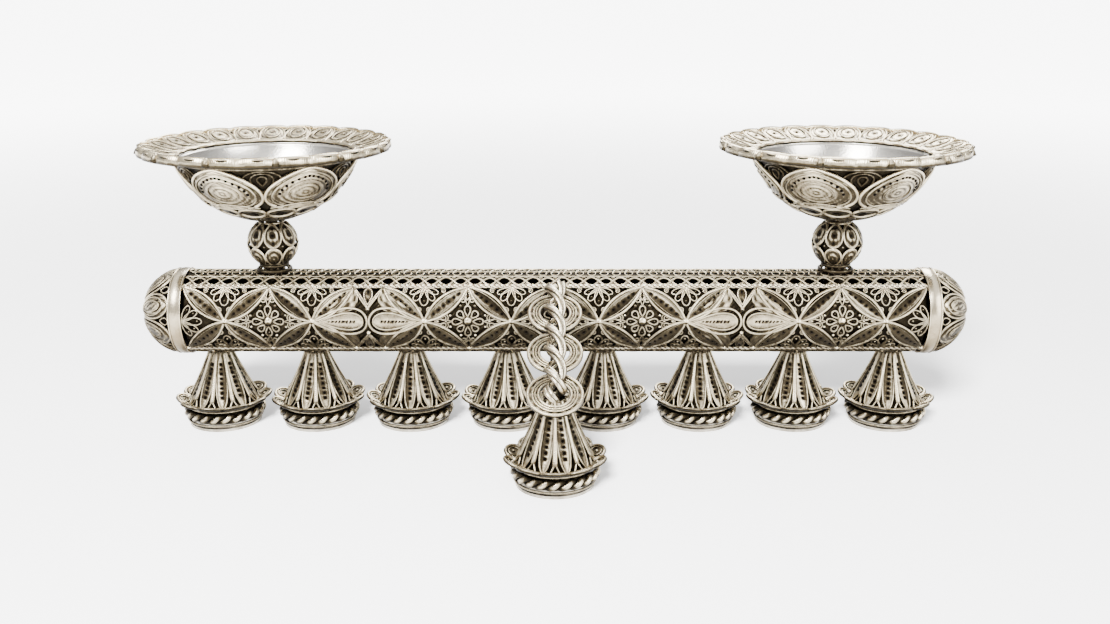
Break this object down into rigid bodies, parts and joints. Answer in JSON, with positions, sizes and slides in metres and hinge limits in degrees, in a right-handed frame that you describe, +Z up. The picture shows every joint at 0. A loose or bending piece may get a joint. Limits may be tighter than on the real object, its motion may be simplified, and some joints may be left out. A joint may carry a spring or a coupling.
{
  "type": "menorah",
  "caption": "Filigree menorah that turns over to serve as two candlesticks: a tubular beam on cup feet, a servant cup on a ringed arm, and two bowls on ball stems.",
  "frame": {"origin": "centre of the outline, on the surface that the cup lips stand on", "axes": "+X along the beam to the right, -Y from the beam towards the servant cup, +Z up towards the bowls"},
  "size_m": [0.2708, 0.1066, 0.0949],
  "materials": {
    "filigree_silver": "antiqued filigree silver with dark recesses",
    "bright_wire": "bright rubbed silver wire",
    "polished_silver": "smooth polished silver",
    "dark_silver": "darkened silver"
  },
  "bodies": {
    "beam": {"rails": "bright_wire", "main_panels": "filigree_silver", "lace_strips": "filigree_silver", "stem_bosses": "dark_silver", "servant_socket": "dark_silver", "cup_rope_rings": "bright_wire", "cup_1_funnel": "filigree_silver", "cup_1_skirt": "bright_wire", "cup_1_candle_cup": "polished_silver", "cup_2_funnel": "filigree_silver", "cup_2_skirt": "bright_wire", "cup_2_candle_cup": "polished_silver", "cup_3_funnel": "filigree_silver", "cup_3_skirt": "bright_wire", "cup_3_candle_cup": "polished_silver", "cup_4_funnel": "filigree_silver", "cup_4_skirt": "bright_wire", "cup_4_candle_cup": "polished_silver", "cup_5_funnel": "filigree_silver", "cup_5_skirt": "bright_wire", "cup_5_candle_cup": "polished_silver", "cup_6_funnel": "filigree_silver", "cup_6_skirt": "bright_wire", "cup_6_candle_cup": "polished_silver", "cup_7_funnel": "filigree_silver", "cup_7_skirt": "bright_wire", "cup_7_candle_cup": "polished_silver", "cup_8_funnel": "filigree_silver", "cup_8_skirt": "bright_wire", "cup_8_candle_cup": "polished_silver"},
    "left_end": {"left_collar": "polished_silver", "left_dome": "filigree_silver"},
    "right_end": {"right_collar": "polished_silver", "right_dome": "filigree_silver"},
    "servant_light": {"servant_funnel": "filigree_silver", "servant_skirt": "bright_wire", "servant_rope_ring": "bright_wire", "servant_candle_cup": "polished_silver", "arm_rope": "bright_wire", "arm_rings": "filigree_silver", "arm_bracket": "dark_silver"},
    "left_washer": {"left_washer": "dark_silver"},
    "left_candlestick": {"left_bolt": "dark_silver", "left_ball": "filigree_silver", "left_bowl": "filigree_silver", "left_liner": "polished_silver", "left_flange": "bright_wire", "left_socket": "polished_silver"},
    "right_washer": {"right_washer": "dark_silver"},
    "right_candlestick": {"right_bolt": "dark_silver", "right_ball": "filigree_silver", "right_bowl": "filigree_silver", "right_liner": "polished_silver", "right_flange": "bright_wire", "right_socket": "polished_silver"}
  },
  "joints": [
    {"name": "left_thread_lift", "type": "slide", "parent": "beam", "child": "left_washer", "axis": [0, 0, 1], "range_m": [0, 0.0056]},
    {"name": "left_unscrew", "type": "hinge", "parent": "left_washer", "child": "left_candlestick", "pos_m": [-0.092, 0.0136, 0.05395], "axis": [0, 0, 1], "range_deg": [0, 2880]},
    {"name": "right_thread_lift", "type": "slide", "parent": "beam", "child": "right_washer", "axis": [0, 0, 1], "range_m": [0, 0.0056]},
    {"name": "right_unscrew", "type": "hinge", "parent": "right_washer", "child": "right_candlestick", "pos_m": [0.092, 0.0136, 0.05395], "axis": [0, 0, 1], "range_deg": [0, 2880]},
    {"name": "left_end_pull", "type": "slide", "parent": "beam", "child": "left_end", "axis": [-1, 0, 0], "range_m": [0, 0.026]},
    {"name": "right_end_pull", "type": "slide", "parent": "beam", "child": "right_end", "axis": [1, 0, 0], "range_m": [0, 0.026]},
    {"name": "servant_pull", "type": "slide", "parent": "beam", "child": "servant_light", "axis": [0, -1, 0], "range_m": [0, 0.012]}
  ],
  "couplings": [
    {"joint": "left_thread_lift", "follows": "left_unscrew", "m_per_rad": 0.00011141},
    {"joint": "right_thread_lift", "follows": "right_unscrew", "m_per_rad": 0.00011141}
  ]
}
